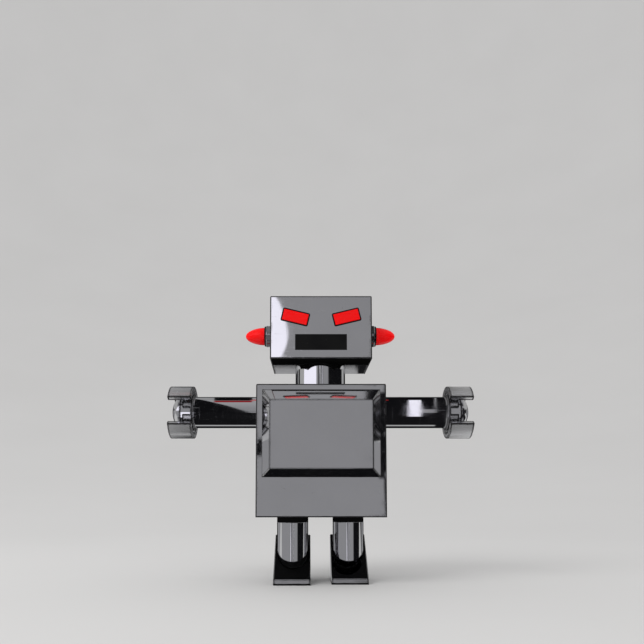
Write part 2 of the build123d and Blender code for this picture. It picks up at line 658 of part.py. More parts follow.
def governor_arbor():
    """Last arbor of the train: pinion, and the drum that the stop lever's pad rubs on."""
    x, z = FAN
    leaves = gear_face(FAN_LEAVES, meshed(FAN_LEAVES, bearing(FAN, THIRD), gap=True), share=0.40)
    arbor = y_rod(FAN_ARBOR_R, 10.6, BRAKE_Y[1], x, z) + y_rod(DRUM_R, *BRAKE_Y, x, z)
    return arbor + Pos(x, 0, z) * y_prism(leaves, THIRD_Y[0] - 0.4, THIRD_Y[1] + 0.4)


def governor_fan():
    x, z = FAN
    y0, y1 = BLADE_Y
    fan = block(x - 8.8, x + 8.8, y0, y1, z - 0.3, z + 0.3) + y_rod(1.9, y0, y1, x, z)
    return fan - y_rod(FAN_ARBOR_R, y0 - 1, y1 + 1, x, z)


def great_wheel():
    x, z = WINDING
    tooth_at = meshed(GREAT_TEETH, bearing(WINDING, CENTRE))
    body = Pos(x, 0, z) * wheel(GREAT_TEETH, tooth_at, GREAT_Y, 4.2, WINDING_R + RUN, spokes=4)
    px, pz = click_pivot()
    boss = y_rod(2.2, *GREAT_Y, px, pz)
    post = y_rod(0.9, GREAT_Y[0], CLICK_Y[1] + 0.4, px, pz)
    return body + boss + post


RATCHET_R, RATCHET_TEETH, CLICK_PIVOT_R, CLICK_PIVOT_DEG = 6.0, 14, 10.4, 45.0


def click_pivot():
    dx, dz = at_polar(CLICK_PIVOT_R, math.radians(CLICK_PIVOT_DEG))
    return WINDING[0] + dx, WINDING[1] + dz


def ratchet_wheel():
    points = []
    for i in range(RATCHET_TEETH):
        start = 2 * math.pi * i / RATCHET_TEETH
        points += [at_polar(RATCHET_R, start), at_polar(RATCHET_R - 1.2, start + 0.03)]
    face = outline(*points) - Circle(WINDING_R)
    return Pos(WINDING[0], 0, WINDING[1]) * y_prism(face, *CLICK_Y)


def click():
    """Pawl whose nose rests on the ratchet wheel."""
    px, pz = click_pivot()
    nose_x, nose_z = WINDING[0] + 0.2, WINDING[1] + RATCHET_R + 0.12
    reach, direction = math.hypot(px - nose_x, pz - nose_z), math.atan2(nose_z - pz, nose_x - px)
    dx, dz = math.cos(direction), math.sin(direction)
    arm = outline(
        (px + dz * 1.6, pz - dx * 1.6),
        (px - dz * 1.6, pz + dx * 1.6),
        (px + dx * reach * 0.5 - dz * 0.2, pz + dz * reach * 0.5 + dx * 0.2),
        (nose_x, nose_z),
        (nose_x + 0.2, nose_z + 1.6),
    )
    body = y_prism(arm, *CLICK_Y) + y_rod(1.9, *CLICK_Y, px, pz)
    return body - y_rod(0.9 + RUN, CLICK_Y[0] - 1, CLICK_Y[1] + 1, px, pz)


def click_spring():
    """Leaf spring on the great wheel's rim that presses the click down."""
    x, z = WINDING
    foot = at_polar(14.9, math.radians(100))
    tip = at_polar(9.4, math.radians(84))
    width = 0.35
    length = math.hypot(tip[0] - foot[0], tip[1] - foot[1])
    nx, nz = -(tip[1] - foot[1]) / length * width / 2, (tip[0] - foot[0]) / length * width / 2
    leaf = outline(
        (foot[0] + nx, foot[1] + nz),
        (foot[0] - nx, foot[1] - nz),
        (tip[0] - nx, tip[1] - nz),
        (tip[0] + nx, tip[1] + nz),
    )
    stud = y_rod(1.1, GREAT_Y[1], CLICK_Y[1], foot[0], foot[1])
    return Pos(x, 0, z) * (y_prism(leaf, CLICK_Y[0] + 0.1, CLICK_Y[1] - 0.1) + stud)


def winding_arbor():
    x, z = WINDING
    return y_rod(WINDING_R, 10.6, 42.0, x, z)


def mainspring():
    """Flat coil spring drawn as half circles on two centres, with its tail looped round a pillar."""
    x, z = WINDING
    y0, y1 = SPRING_Y
    strip, growth, start, turns = 0.4, 0.55, 2.32, 11
    spring = None
    for k in range(2 * turns + 1):
        r = start + k * growth
        upper = k % 2 == 0
        centre_x = x if upper else x + growth
        ring = y_rod(r + strip / 2, y0, y1, centre_x, z) - y_rod(r - strip / 2, y0 - 1, y1 + 1, centre_x, z)
        half = block(centre_x - 40, centre_x + 40, y0, y1, z if upper else z - 40, z + 40 if upper else z)
        piece = ring & half
        spring = piece if spring is None else spring + piece
    last_r = start + 2 * turns * growth
    px, pz = PILLARS[0]
    tail_x = x - last_r
    spring += block(tail_x - strip / 2, tail_x + strip / 2, y0, y1, z - 0.01, pz)
    loop = y_rod(abs(px - tail_x) + strip / 2, y0, y1, px, pz)
    loop -= y_rod(abs(px - tail_x) - strip / 2, y0 - 1, y1 + 1, px, pz)
    return spring + (loop & block(px - 9, px + 9, y0, y1, pz, pz + 9))


def winding_key():
    """Butterfly key pushed on the arbor's end."""
    x, z = WINDING
    hub = y_rod(3.6, 34.0, 45.5, x, z) - y_rod(WINDING_R, 33.0, 42.0, x, z)
    hub = fillet([e for e in hub.edges() if abs(e.center().Y - 45.5) < 0.1], 1.0)
    lobe = Pos(7.6, 49.0) * Circle(7.5)
    wing = lobe + mirror(lobe, about=Plane.YZ) + Pos(0, 46.0) * Rectangle(7.0, 6.0)
    plate = extrude(Plane.XY.offset(z - 0.9) * wing, amount=1.8)
    plate = fillet([e for e in plate.edges() if abs(abs(e.center().Z - z) - 0.9) < 0.05], 0.5)
    return hub + plate


LEVER_PIVOT = (32.5, 72.0)
LEVER_TOP = 108.0
LEVER_KNOB_Z = 104.0
LEVER_SWING = 12.0
LEVER_Y = (28.8, 30.1)


def stop_lever():
    """Lever behind the rear plate. Upright it rubs on the governor's drum and stops the motor."""
    px, pz = LEVER_PIVOT
    edge_x = FAN[0] + DRUM_R + GAP
    bar = Pos((edge_x + edge_x + 4.6) / 2, (pz + LEVER_TOP) / 2) * Rectangle(4.6, LEVER_TOP - pz)
    bar += Pos(px, pz) * Circle(3.4)
    lever = y_prism(bar, *LEVER_Y) + y_rod(1.15, REAR_PLATE_Y, LEVER_Y[1] + 0.5, px, pz)
    knob_x = edge_x + 2.3
    lever += y_rod(1.3, LEVER_Y[0], BACK_Y + 2.0, knob_x, LEVER_KNOB_Z)
    knob = y_rod(3.2, BACK_Y + 1.0, BACK_Y + 4.0, knob_x, LEVER_KNOB_Z)
    return lever + fillet([e for e in knob.edges() if e.center().Y > BACK_Y + 3.9], 0.8)


def lever_slot():
    """Curved slot in the back cover, along the knob's path."""
    px, pz = LEVER_PIVOT
    knob_x = FAN[0] + DRUM_R + GAP + 2.3
    reach = math.hypot(knob_x - px, LEVER_KNOB_Z - pz)
    start = math.degrees(math.atan2(LEVER_KNOB_Z - pz, knob_x - px))
    slot = None
    for i in range(7):
        at = math.radians(start - LEVER_SWING * i / 6)
        spot = Pos(px + reach * math.cos(at), pz + reach * math.sin(at)) * Circle(1.7)
        slot = spot if slot is None else slot + spot
    return y_prism(slot, BACK_Y - TIN - 1, BACK_Y + 2)


def screw_y(x, z, y_head, length):
    """Cheese-head screw pointing at -Y with its head on y_head."""
    head = y_rod(1.9, y_head, y_head + 1.1, x, z)
    head = fillet([e for e in head.edges() if e.center().Y > y_head + 1.0], 0.4)
    head -= block(x - 3, x + 3, y_head + 0.6, y_head + 2, z - 0.25, z + 0.25)
    return head + y_rod(1.0, y_head - length, y_head + 0.1, x, z)


def torso_screws():
    screws = [screw_y(side * (TORSO_X - TIN - 3), z, BACK_Y, 3.0) for side in (-1, 1) for z in (55.0, 133.0)]
    screws += [screw_y(x, z, BACK_Y, BACK_Y - REAR_PLATE_Y) for x, z in STANDOFFS]
    for side in (-1, 1):
        for y in BASE_SCREW_Y:
            x = side * (TORSO_X - TIN - 3)
            head = z_rod(1.9, TORSO_FOOT - BASE_SCREW_HEAD, TORSO_FOOT, x, y)
            head -= block(x - 3, x + 3, y - 0.25, y + 0.25, TORSO_FOOT - 2, TORSO_FOOT - BASE_SCREW_HEAD / 2)
            screws.append(head + z_rod(1.0, TORSO_FOOT - 0.1, TORSO_FOOT + 3.0, x, y))
    return group(screws)


def head_screws():
    places = [(side * (HEAD_X - TIN - 3), z) for side in (-1, 1) for z in (HEAD_FOOT + 6, HEAD_TOP - 6)]
    return group([screw_y(x, z, BACK_Y, 3.0) for x, z in places])


# ---------------------------------------------------------------- write every part
def main():
    os.makedirs("parts", exist_ok=True)
    export(torso_shell(), "torso_shell")
    export(back_cover(), "torso_back_cover")
    export(base_plate(), "torso_base_plate")
    export(chest_panel(), "chest_panel")
    export(neck_tube(), "neck_tube")
    export(neck_pivot(), "neck_pivot")
    export(group([on_side(shoulder_bush(), s) for _, s in SIDES]), "shoulder_bushes")
    export(front_plate(), "motor_front_plate")
    export(rear_plate(), "motor_rear_plate")
    export(motor_pillars(), "motor_pillars")
    export(motor_standoffs(), "motor_standoffs")
    export(crank_bearings(), "crank_bearings")
    export(guide_rod(), "guide_rod")
    export(mainspring(), "mainspring")
    export(torso_screws(), "torso_screws")

    export(head_shell(), "head_shell")
    export(head_back(), "head_back_cover")
    export(head_base(), "head_base_plate")
    export(mouth_plate(), "mouth_plate")
    export(head_screws(), "head_screws")
    export(head_washer(), "head_washer")

    export(crankshaft(), "crankshaft")
    export(crank_pinion(), "crank_pinion")
    export(crown_wheel(), "crown_wheel")
    export(centre_arbor(), "centre_arbor")
    export(second_wheel(), "second_wheel")
    export(third_arbor(), "third_arbor")
    export(third_wheel(), "third_wheel")
    export(governor_arbor(), "governor_arbor")
    export(governor_fan(), "governor_fan")
    export(great_wheel(), "great_wheel")
    export(click(), "click")
    export(click_spring(), "click_spring")
    export(winding_arbor(), "winding_arbor")
    export(ratchet_wheel(), "ratchet_wheel")
    export(winding_key(), "winding_key")
    export(stop_lever(), "stop_lever")

    for name, side in SIDES:
        export(eye(side), f"{name}_eye")
        export(on_side(ear_base(), side), f"{name}_ear_base")
        export(on_side(ear_bulb(), side), f"{name}_ear_bulb")
        export(on_side(arm_tube(), side), f"{name}_arm_tube")
        export(on_side(shoulder_spindle(), side), f"{name}_shoulder_spindle")
        export(on_side(palm_cap(), side), f"{name}_palm_cap")
        export(on_side(claw(), side), f"{name}_claw")
        export(on_side(leg_tube(side), side), f"{name}_leg_tube")
        export(on_side(leg_hanger(side), side), f"{name}_leg_hanger")
        export(on_side(foot_shell(side), side), f"{name}_foot_shell")
        export(on_side(sole_plate(side), side), f"{name}_sole_plate")


main()
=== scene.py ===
"""Studio scene for the tin wind-up robot: materials and small sheet-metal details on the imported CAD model.

Everything is in metres, in the CAD's frame: the robot faces -Y, its left is +X, and the floor is Z = 0.
"""

import math

import bmesh
import bpy
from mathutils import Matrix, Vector


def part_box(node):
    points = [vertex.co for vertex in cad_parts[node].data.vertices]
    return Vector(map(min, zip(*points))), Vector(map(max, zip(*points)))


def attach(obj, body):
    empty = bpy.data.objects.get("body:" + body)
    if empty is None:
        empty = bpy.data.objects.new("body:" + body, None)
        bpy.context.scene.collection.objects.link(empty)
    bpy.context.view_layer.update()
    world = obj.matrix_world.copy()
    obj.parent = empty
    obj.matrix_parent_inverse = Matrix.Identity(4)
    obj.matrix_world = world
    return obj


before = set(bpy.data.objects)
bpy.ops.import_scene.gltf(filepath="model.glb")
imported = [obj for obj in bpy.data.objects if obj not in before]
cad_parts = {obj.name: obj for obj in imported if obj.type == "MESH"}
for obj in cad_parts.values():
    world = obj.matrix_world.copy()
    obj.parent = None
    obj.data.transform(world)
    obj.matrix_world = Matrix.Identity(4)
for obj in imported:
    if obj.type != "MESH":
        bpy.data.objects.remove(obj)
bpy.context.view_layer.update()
MM = 0.001
SIDES = (("left", 1), ("right", -1))
X_AXIS, Y_AXIS, Z_AXIS = 0, 1, 2
EYE_W, EYE_H, EYE_TILT = 17.8, 7.8, 13.6  # millimetres and degrees

# the fitted camera, in metres, degrees, millimetres and parts of the frame's width
CAMERA_PLACE, CAMERA_PITCH = (-0.008706, -0.520138, 0.064747), 4.5
LENS, SENSOR, SHIFT = 38.916, 36, (0.0208, 0.1776)

# tones of tinplate, and of what covers it in places; SHADED is a darker copy of the tin that is painted
# shade, and the black one below is painted dark reflection and shade
BRIGHT, SLIGHTLY_DARKER, SHADED = (0.70, 0.70, 0.72), (0.62, 0.62, 0.64), (0.34, 0.34, 0.35)
TARNISH, WORN = (0.17, 0.14, 0.12), (0.36, 0.34, 0.33)
DARK_EDGE, PAINTED_DARK = (0.02, 0.019, 0.02), (0.006, 0.006, 0.006)
BRASS, BRASS_TARNISH = (0.80, 0.60, 0.27), (0.47, 0.32, 0.13)

# sockets of a Mix node that mixes colours
MIX_FACTOR, MIX_A, MIX_B, MIX_RESULT = 0, 6, 7, 2


# ---------------------------------------------------------------- node helpers
class Nodes:
    """A short way to build a node tree: most methods add some nodes and return their output."""

    def __init__(self, tree):
        self.tree = tree
        tree.nodes.clear()

    def add(self, kind, **settings):
        node = self.tree.nodes.new(kind)
        for key, value in settings.items():
            setattr(node, key, value)
        return node

    def put(self, socket, value):
        """Links an output into a socket, or sets the socket's value."""
        if isinstance(value, bpy.types.NodeSocket):
            self.tree.links.new(value, socket)
        else:
            socket.default_value = value

    def math(self, operation, *values, clamp=False):
        node = self.add("ShaderNodeMath", operation=operation, use_clamp=clamp)
        for socket, value in zip(node.inputs, values):
            self.put(socket, value)
        return node.outputs[0]

    def step(self, value, low, high):
        """0 below low, 1 above high, smooth in between. Low may be the larger one."""
        if low > high:
            return self.math("SUBTRACT", 1.0, self.step(value, high, low))
        node = self.add("ShaderNodeMapRange", interpolation_type="SMOOTHSTEP")
        for socket, item in zip(node.inputs[:5], (value, low, high, 0.0, 1.0)):
            self.put(socket, item)
        return node.outputs[0]

    def span(self, value, low, high, soft):
        """1 between low and high, 0 outside."""
        rise = self.step(value, low - soft, low + soft)
        return self.math("MULTIPLY", rise, self.step(value, high + soft, high - soft))

    def mix(self, factor, a, b):
        node = self.add("ShaderNodeMix", data_type="RGBA")
        for index, value in ((MIX_FACTOR, factor), (MIX_A, a), (MIX_B, b)):
            self.put(node.inputs[index], (*value, 1.0) if isinstance(value, tuple) else value)
        return node.outputs[MIX_RESULT]

    def tint(self, colour, mask, strength, other):
        """Mixes another colour in where the mask is, with some strength."""
        return self.mix(self.math("MULTIPLY", mask, strength), colour, other)

    def plus(self, value, mask, amount, clamp=False):
        """The value, and an amount more where the mask is."""
        return self.math("ADD", value, self.math("MULTIPLY", mask, amount), clamp=clamp)

    def ragged(self, value, noise, amount):
        """The value, made uneven by a noise."""
        return self.plus(value, self.math("SUBTRACT", noise, 0.5), amount)

    def noise(self, vector, scale, detail=2.0, roughness=0.5, distortion=0.0):
        node = self.add("ShaderNodeTexNoise")
        self.put(node.inputs["Vector"], vector)
        node.inputs["Scale"].default_value = scale
        node.inputs["Detail"].default_value = detail
        node.inputs["Roughness"].default_value = roughness
        node.inputs["Distortion"].default_value = distortion
        return node.outputs[0]

    def spread(self, noise, low=0.0, high=1.0):
        """Spreads a noise's usual range, 0.3 to 0.7, over low to high."""
        node = self.add("ShaderNodeMapRange")
        for socket, item in zip(node.inputs[:5], (noise, 0.3, 0.7, low, high)):
            self.put(socket, item)
        return node.outputs[0]

    def stretch(self, vector, scale, turn=(0.0, 0.0, 0.0)):
        node = self.add("ShaderNodeMapping")
        self.put(node.inputs["Vector"], vector)
        node.inputs["Scale"].default_value = scale
        node.inputs["Rotation"].default_value = turn
        return node.outputs[0]

    def split(self, vector):
        node = self.add("ShaderNodeSeparateXYZ")
        self.put(node.inputs[0], vector)
        return node.outputs

    def all(self, *masks):
        """The product of some masks."""
        result = masks[0]
        for mask in masks[1:]:
            result = self.math("MULTIPLY", result, mask)
        return result

    def any(self, *masks):
        """The largest of some masks."""
        result = masks[0]
        for mask in masks[1:]:
            result = self.math("MAXIMUM", result, mask)
        return result

    def sharpness(self, radius):
        """How far the surface turns within a radius: 0 on a flat, near 0.3 on a square edge."""
        bevel = self.add("ShaderNodeBevel", samples=10)
        bevel.inputs["Radius"].default_value = radius
        dot = self.add("ShaderNodeVectorMath", operation="DOT_PRODUCT")
        self.put(dot.inputs[0], bevel.outputs[0])
        self.put(dot.inputs[1], self.add("ShaderNodeNewGeometry").outputs["Normal"])
        return self.math("SUBTRACT", 1.0, dot.outputs["Value"])

    def bump(self, height, distance, normal=None):
        node = self.add("ShaderNodeBump")
        self.put(node.inputs["Height"], height)
        node.inputs["Distance"].default_value = distance
        node.inputs["Strength"].default_value = 1.0
        if normal is not None:
            self.put(node.inputs["Normal"], normal)
        return node.outputs[0]


def new_material(name):
    material = bpy.data.materials.new(name)
    material.use_nodes = True
    n = Nodes(material.node_tree)
    shader = n.add("ShaderNodeBsdfPrincipled")
    n.put(n.add("ShaderNodeOutputMaterial").inputs["Surface"], shader.outputs[0])
    position = n.add("ShaderNodeTexCoord").outputs["Object"]
    return material, n, shader, position


def finish(n, shader, colour, roughness, normal):
    n.put(shader.inputs["Base Color"], colour)
    n.put(shader.inputs["Roughness"], roughness)
    n.put(shader.inputs["Normal"], normal)


def edge_distance(n, position, low, high):
    """Distance in metres from the nearest edge of a box, on the box's surface."""
    gaps = []
    for axis, value in enumerate(n.split(position)):
        middle, half = (low[axis] + high[axis]) / 2, (high[axis] - low[axis]) / 2
        offset = n.math("ABSOLUTE", n.math("SUBTRACT", value, middle))
        gaps.append(n.math("ABSOLUTE", n.math("SUBTRACT", half, offset)))
    a, b, c = gaps
    small, large = n.math("MINIMUM", a, b), n.math("MAXIMUM", a, b)
    return n.math("MAXIMUM", small, n.math("MINIMUM", large, c))


# ---------------------------------------------------------------- materials
def tin(name, tone=BRIGHT, rough=0.035, grain=(1, 1, 1), edges_of=None, edge=0.0015, wobble=1.0, painted_dark_band=None):
    """Bright tinplate: rubbed patches, fine scratches, pin-prick tarnish, and folds and cut edges gone dark.

    grain is 1 for each axis that the fine rolling lines lie across.
    edges_of is the box whose edges go dark; without one, edges are found within the distance edge.
    The last argument is (axis, start, end): between those places along that axis the sheet is painted black,
    as painted dark reflection and painted shadow.
    """
    across, along = 2600, 45
    material, n, shader, position = new_material(name)
    patches = n.noise(position, 28, detail=5, roughness=0.6)
    film = n.noise(position, 90, detail=3, roughness=0.65)
    lines = n.noise(n.stretch(position, tuple(across if g else along for g in grain)), 1, detail=2)
    hairs_a = n.noise(n.stretch(position, (70, 70, 3200), (0.5, 0.9, 0.3)), 1, detail=1)
    hairs_b = n.noise(n.stretch(position, (2900, 60, 60), (0.2, 0.4, 1.1)), 1, detail=1)
    scratch = n.any(n.step(hairs_a, 0.735, 0.775), n.step(hairs_b, 0.745, 0.785))
    specks = n.all(n.step(n.noise(position, 700, detail=2), 0.735, 0.775), n.step(patches, 0.46, 0.62))
    colour = n.mix(n.spread(patches), tone, tuple(0.95 * c for c in tone))
    colour = n.tint(colour, scratch, 0.3, tuple(min(1, 1.22 * c) for c in tone))
    colour = n.tint(colour, specks, 0.75, TARNISH)
    roughness = n.plus(rough, n.step(film, 0.42, 0.72), 0.025)
    roughness = n.plus(roughness, n.step(patches, 0.5, 0.75), 0.03)
    roughness = n.plus(roughness, scratch, 0.12)
    roughness = n.plus(roughness, specks, 0.3, clamp=True)
    if edges_of:
        distance = n.ragged(edge_distance(n, position, *edges_of), film, 0.0005)
        fold = n.step(distance, 0.00095, 0.0007)
        worn = n.all(n.step(distance, 0.0024, 0.0008), n.step(film, 0.5, 0.62))
    else:
        sharp = n.sharpness(edge)
        fold = n.step(n.ragged(sharp, film, 0.005), 0.004, 0.011)
        worn = n.all(n.step(sharp, 0.001, 0.008), n.step(film, 0.52, 0.64))
    colour = n.tint(colour, worn, 0.3, WORN)
    colour = n.tint(colour, fold, 0.96, DARK_EDGE)
    roughness = n.plus(roughness, fold, 0.25, clamp=True)
    roughness = n.plus(roughness, worn, 0.08, clamp=True)
    shader.inputs["Metallic"].default_value = 1.0
    # painted shade: black is painted in between two places along an axis, standing in for dark reflections
    # and shadow
    if painted_dark_band:
        axis, start, end = painted_dark_band
        painted_dark_mask = n.span(n.ragged(n.split(position)[axis], film, 0.0012), start, end, 0.0002)
        colour = n.mix(painted_dark_mask, colour, PAINTED_DARK)
        roughness = n.plus(roughness, painted_dark_mask, 0.3, clamp=True)
        n.put(shader.inputs["Metallic"], n.math("SUBTRACT", 1.0, painted_dark_mask))
        shader.inputs["Specular IOR Level"].default_value = 0.0
    waves = n.bump(n.noise(position, 26, detail=1), 0.00012 * wobble)
    finish(n, shader, colour, roughness, n.bump(lines, 0.0000008, normal=waves))
    return material


def machined(name, tone, rough, grain, tarnish):
    """Turned or rolled metal of the clockwork, with oil stains."""
    material, n, shader, position = new_material(name)
    stain = n.noise(position, 120, detail=4, roughness=0.6)
    lines = n.noise(n.stretch(position, grain), 1, detail=2)
    dots = n.step(n.noise(position, 900, detail=2), 0.68, 0.76)
    colour = n.mix(n.step(stain, 0.4, 0.75), tone, tarnish)
    colour = n.tint(colour, dots, 0.3, tuple(0.35 * c for c in tarnish))
    roughness = n.plus(rough, n.spread(lines, -1, 1), 0.06)
    roughness = n.plus(roughness, n.step(stain, 0.45, 0.7), 0.12, clamp=True)
    finish(n, shader, colour, roughness, n.bump(lines, 0.000004))
    shader.inputs["Metallic"].default_value = 1.0
    return material


def red_plastic(name, tone, deeper):
    """Moulded red plastic: deeper in patches, with dust and rub marks."""
    material, n, shader, position = new_material(name)
    flow = n.noise(position, 60, detail=3, distortion=0.8)
    dust = n.step(n.noise(position, 1500, detail=2), 0.69, 0.75)
    hairs = n.step(n.noise(n.stretch(position, (80, 2600, 90), (0.4, 0.7, 0.2)), 1, detail=1), 0.72, 0.77)
    colour = n.mix(n.spread(flow), tone, deeper)
    colour = n.tint(colour, dust, 0.15, (0.85, 0.35, 0.3))
    roughness = n.plus(0.16, n.step(flow, 0.45, 0.7), 0.07)
    roughness = n.plus(roughness, n.any(dust, hairs), 0.25)
    finish(n, shader, colour, roughness, n.bump(flow, 0.00004))
    shader.inputs["Specular IOR Level"].default_value = 0.25
    return material


def black_enamel(name):
    """Stoved black paint with orange peel, dust and a few chips."""
    material, n, shader, position = new_material(name)
    peel = n.noise(position, 900, detail=2)
    chips = n.step(n.noise(position, 420, detail=3, roughness=0.7), 0.70, 0.73)
    haze = n.noise(position, 70, detail=3)
    colour = n.mix(n.spread(haze), (0.0025, 0.0025, 0.003), (0.005, 0.005, 0.005))
    colour = n.tint(colour, chips, 0.35, (0.12, 0.115, 0.11))
    finish(n, shader, colour, n.plus(0.34, haze, 0.2), n.bump(peel, 0.00002))
    shader.inputs["Specular IOR Level"].default_value = 0.15
    return material


def use(material, *nodes):
    """Gives some CAD nodes one material, in every slot they have."""
    for node in nodes:
        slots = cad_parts[node].data.materials
        if not slots:
            slots.append(material)
        for index in range(len(slots)):
            slots[index] = material


def sided(word):
    return [f"{side}_{word}" for side, _ in SIDES]


def paint_frame():
    """Gives every CAD node its material."""
    torso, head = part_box("torso_shell"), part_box("head_shell")
    use(tin("bright_tin_torso", edges_of=torso, grain=(0, 0, 1), rough=0.02, wobble=0.2), "torso_shell")
    use(tin("bright_tin_head", edges_of=head, grain=(0, 0, 1), rough=0.02, wobble=0.4), "head_shell")
    use(tin("bright_tin_back", edges_of=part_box("torso_back_cover"), grain=(0, 0, 1)), "torso_back_cover")
    use(tin("bright_tin_nape", edges_of=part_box("head_back_cover"), grain=(0, 0, 1)), "head_back_cover")
    # the front of the head's base plate is painted black: painted dark reflection on the underside
    dark_reflection_strip = (Y_AXIS, head[0].y - 0.001, head[0].y + 0.0262)
    use(tin("tin_with_painted_dark_reflection", wobble=0.0, painted_dark_band=dark_reflection_strip), "head_base_plate")
    # the torso's base plate is painted black: painted shade under the torso, which the feet's tops mirror
    use(black_enamel("black_painted_shade"), "torso_base_plate")
    use(tin("bright_tin_panel", grain=(1, 0, 0), wobble=0.2), "chest_panel")
    use(tin("bright_tin_neck", grain=(0, 0, 1), wobble=0.6), "neck_tube")
    use(tin("bright_tin_arm", rough=0.02, grain=(1, 0, 0), wobble=0.25), *sided("arm_tube"))
    use(tin("satin_tin_palm", rough=0.12, grain=(0, 1, 1), wobble=0.5), *sided("palm_cap"))
    # the ear caps get a darker copy of the tin: painted shade for their dark reflections
    use(tin("shaded_tin_ear", tone=SHADED, grain=(1, 0, 0), rough=0.06), *sided("ear_base"))
    use(tin("bright_tin_claw", rough=0.2, edge=0.0022, wobble=0.6), *sided("claw"))
    # the legs are painted black from just below the torso upwards, a painted shadow under the torso, and the
    # feet along their lower edge, a painted dark reflection
    leg_top = (Z_AXIS, torso[0].z - 0.0046, torso[1].z)
    use(tin("bright_tin_leg", grain=(0, 0, 1), wobble=0.6, painted_dark_band=leg_top), *sided("leg_tube"))
    # painted dark reflection along the feet's lower edge
    foot_edge = (Z_AXIS, -0.001, 0.0014)
    # the feet's tin is a slightly darker tone
    use(tin("bright_tin_foot", tone=SLIGHTLY_DARKER, grain=(0, 1, 0), painted_dark_band=foot_edge), *sided("foot_shell"))
    use(tin("dull_tin_sole", tone=(0.5, 0.5, 0.5), rough=0.26), *sided("sole_plate"))
    use(red_plastic("red_lens", (0.84, 0.001, 0.001), (0.79, 0.001, 0.001)), *sided("eye"))
    use(red_plastic("red_bulb", (1.0, 0.002, 0.003), (0.96, 0.001, 0.002)), *sided("ear_bulb"))
    use(black_enamel("black_enamel"), "mouth_plate")
    steel = machined("rolled_steel", (0.56, 0.56, 0.57), 0.27, (60, 60, 2200), (0.36, 0.34, 0.31))
    use(steel, "motor_front_plate", "motor_rear_plate", "crank_bearings", "stop_lever", *sided("leg_hanger"))
    turned = machined("turned_steel", (0.62, 0.62, 0.63), 0.2, (900, 900, 900), (0.4, 0.39, 0.37))
    use(turned, "motor_pillars", "motor_standoffs", "guide_rod", "crankshaft", "winding_arbor", "neck_pivot")
    use(turned, "centre_arbor", "third_arbor", "governor_arbor", "crank_pinion", "ratchet_wheel", "click")
    use(turned, "governor_fan", *sided("shoulder_spindle"))
    blued = machined("blued_steel", (0.10, 0.13, 0.24), 0.26, (60, 1800, 60), (0.16, 0.12, 0.12))
    use(blued, "mainspring", "click_spring", "head_washer")
    brass = machined("wheel_brass", BRASS, 0.22, (1400, 60, 1400), BRASS_TARNISH)
    use(brass, "second_wheel", "third_wheel", "great_wheel", "crown_wheel", "shoulder_bushes")
    bright = machined("screw_steel", (0.66, 0.66, 0.66), 0.2, (700, 700, 700), (0.42, 0.4, 0.37))
    use(bright, "torso_screws", "head_screws")
    use(tin("bright_tin_key", tone=(0.68, 0.67, 0.66), rough=0.14, edge=0.0005), "winding_key")


# ---------------------------------------------------------------- small sheet-metal pieces
def put_in_scene(name, data):
    thing = bpy.data.objects.new(name, data)
    bpy.context.scene.collection.objects.link(thing)
    return thing


def skin(name, rings, body, material, wrap=True):
    """A closed surface through rings of points: it wraps round to the first, or is capped at both ends."""
    bm = bmesh.new()
    loops = [[bm.verts.new([MM * c for c in point]) for point in ring] for ring in rings]
    for low, high in zip(loops, loops[1:] + loops[:1] if wrap else loops[1:]):
        for i in range(len(low)):
            j = (i + 1) % len(low)
            bm.faces.new((low[i], low[j], high[j], high[i]))
    if not wrap:
        bm.faces.new(loops[0])
        bm.faces.new(loops[-1])
    bmesh.ops.recalc_face_normals(bm, faces=bm.faces)
    for face in bm.faces:
        face.smooth = len(face.verts) == 4
    mesh = bpy.data.meshes.new(name)
    bm.to_mesh(mesh)
    bm.free()
    mesh.materials.append(material)
    piece = put_in_scene(name, mesh)
    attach(piece, body)


def round_rectangle(half_w, half_h, radius, steps=6):
    """The corners' arcs of a rounded rectangle, as a ring of points."""
    points = []
    for quarter, (sx, sy) in enumerate(((1, 1), (-1, 1), (-1, -1), (1, -1))):
        for i in range(steps + 1):
            angle = math.radians(90 * quarter + 90 * i / steps)
            x = sx * (half_w - radius) + radius * math.cos(angle)
            points.append((x, sy * (half_h - radius) + radius * math.sin(angle)))
    return points


def eye_bezels(material):
    """Thin black rubber frames that the red lenses are held in."""
    # how far out from the lens, and how proud of the head
    section = (
        (0.06, -0.3), (0.06, 0.30), (0.16, 0.42), (0.34, 0.46),
        (0.62, 0.44), (0.82, 0.34), (0.9, 0.16), (0.9, -0.3),
    )
    corner_radius = 0.25
    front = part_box("head_shell")[0].y / MM
    for side, sign in SIDES:
        low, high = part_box(f"{side}_eye")
        centre = (low + high) / 2 / MM
        turn = math.radians(sign * EYE_TILT)
        rings = []
        for out, proud in section:
            ring = []
            for u, v in round_rectangle(EYE_W / 2 + out, EYE_H / 2 + out, corner_radius + out):
                x = centre.x + u * math.cos(turn) - v * math.sin(turn)
                z = centre.z + u * math.sin(turn) + v * math.cos(turn)
                ring.append((x, front - proud, z))
            rings.append(ring)
        skin(f"{side}_eye_bezel", rings, "head", material)


def around(axis, along, centre, reach, angle):
    """A point at a reach and an angle about an axis, at a place along it."""
    point = [0.0, 0.0, 0.0]
    point[axis] = along
    point[(axis + 1) % 3] = centre[(axis + 1) % 3] + reach * math.cos(angle)
    point[(axis + 2) % 3] = centre[(axis + 2) % 3] + reach * math.sin(angle)
    return point


def circle_about(axis, radius, along, centre, count=64):
    return [around(axis, along, centre, radius, 2 * math.pi * i / count) for i in range(count)]


